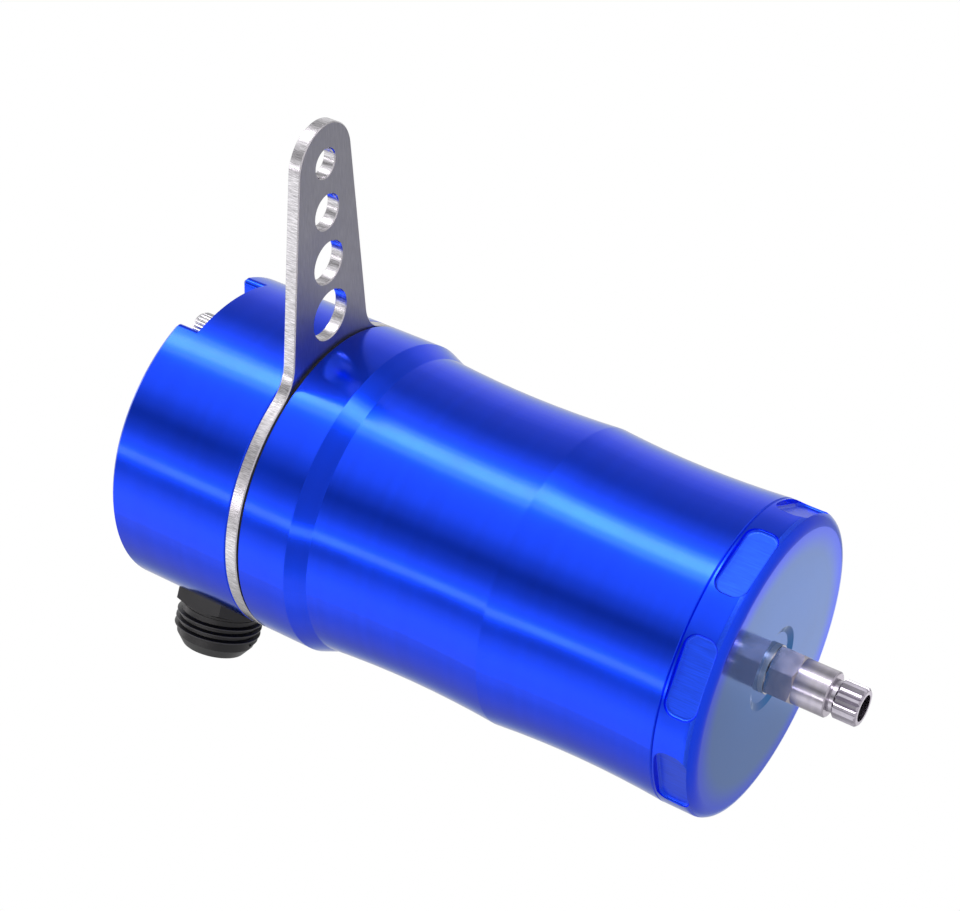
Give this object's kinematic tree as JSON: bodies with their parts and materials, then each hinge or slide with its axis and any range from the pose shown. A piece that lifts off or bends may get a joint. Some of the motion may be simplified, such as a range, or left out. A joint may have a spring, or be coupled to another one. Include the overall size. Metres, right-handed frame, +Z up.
{
  "type": "oil catch can",
  "caption": "Waisted cylindrical oil catch can with a flat mounting arm, two hose fittings in its cap, a scalloped screw-off base and a knurled drain valve.",
  "frame": {"origin": "centre of the drain outlet's mouth, on the can's axis and at its lowest point", "axes": "+Z up the can's axis towards the cap, +Y along the bracket's arm"},
  "size_m": [0.0794, 0.1517, 0.1796],
  "materials": {
    "blue_anodised": "satin blue anodised",
    "black_anodised": "satin black anodised",
    "brushed_plate": "brushed",
    "screw_steel": "bright",
    "nickel_brass": "nickel plated",
    "soft_washer": "dull",
    "black_rubber": "matt",
    "plain_aluminium": "plain",
    "knitted_steel": "knitted wire",
    "spring_steel": "phosphated"
  },
  "bodies": {
    "can": {"top_cap": "blue_anodised", "mounting_bracket": "brushed_plate", "collar_gasket": "black_rubber", "barrel": "blue_anodised", "cap_seal_ring": "black_rubber", "cap_screw_1": "screw_steel", "cap_screw_2": "screw_steel", "cap_screw_3": "screw_steel", "inlet_fitting": "black_anodised", "inlet_seal_ring": "black_rubber", "outlet_fitting": "black_anodised", "outlet_seal_ring": "black_rubber", "upper_retaining_ring": "spring_steel", "upper_baffle": "plain_aluminium", "mesh_pad": "knitted_steel", "lower_baffle": "plain_aluminium", "lower_retaining_ring": "spring_steel"},
    "base_seal": {"base_seal_ring": "black_rubber"},
    "base": {"base_cap": "blue_anodised", "drain_valve_body": "nickel_brass", "drain_valve_washer": "soft_washer"},
    "drain_seal": {"drain_stem_seal": "black_rubber"},
    "drain_stem": {"drain_valve_stem": "nickel_brass"}
  },
  "joints": [
    {"name": "base_travel", "type": "slide", "parent": "can", "child": "base_seal", "axis": [0, 0, -1], "range_m": [0, 0.012]},
    {"name": "base_turn", "type": "hinge", "parent": "base_seal", "child": "base", "pos_m": [0, 0, 0.03245], "axis": [0, 0, -1], "range_deg": [0, 2890]},
    {"name": "drain_travel", "type": "slide", "parent": "base", "child": "drain_seal", "axis": [0, 0, -1], "range_m": [0, 0.0015]},
    {"name": "drain_turn", "type": "hinge", "parent": "drain_seal", "child": "drain_stem", "pos_m": [0, 0, 0.006], "axis": [0, 0, -1], "range_deg": [0, 545]}
  ],
  "couplings": [
    {"joint": "base_turn", "follows": "base_travel", "rad_per_m": 4188.8},
    {"joint": "drain_turn", "follows": "drain_travel", "rad_per_m": 6283.2}
  ]
}
